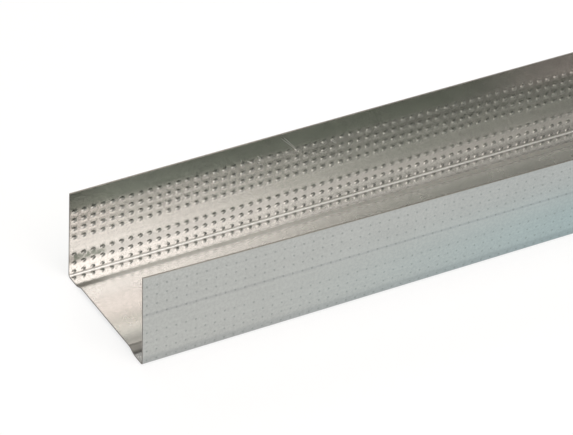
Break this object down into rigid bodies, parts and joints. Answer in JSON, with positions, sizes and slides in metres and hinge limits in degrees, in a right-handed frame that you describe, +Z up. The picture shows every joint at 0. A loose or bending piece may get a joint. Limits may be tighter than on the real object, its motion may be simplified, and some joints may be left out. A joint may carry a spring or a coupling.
{
  "type": "drywall track",
  "caption": "Straight galvanised steel channel with two plain legs and a raised flat web, used as floor or ceiling track for partition studs.",
  "frame": {"origin": "middle of the track's length and width, at the level of the floor it lies on", "axes": "+X along the track, away from the end the picture shows; +Y across the web; +Z up, out of the open side"},
  "size_m": [3, 0.048, 0.03],
  "materials": {
    "galvanised_steel": "hot-dip galvanised strip with rolling lines and light scuffs; the legs have rows of small pressed dimples"
  },
  "bodies": {
    "root": {"drywall_track": "galvanised_steel"}
  },
  "joints": []
}
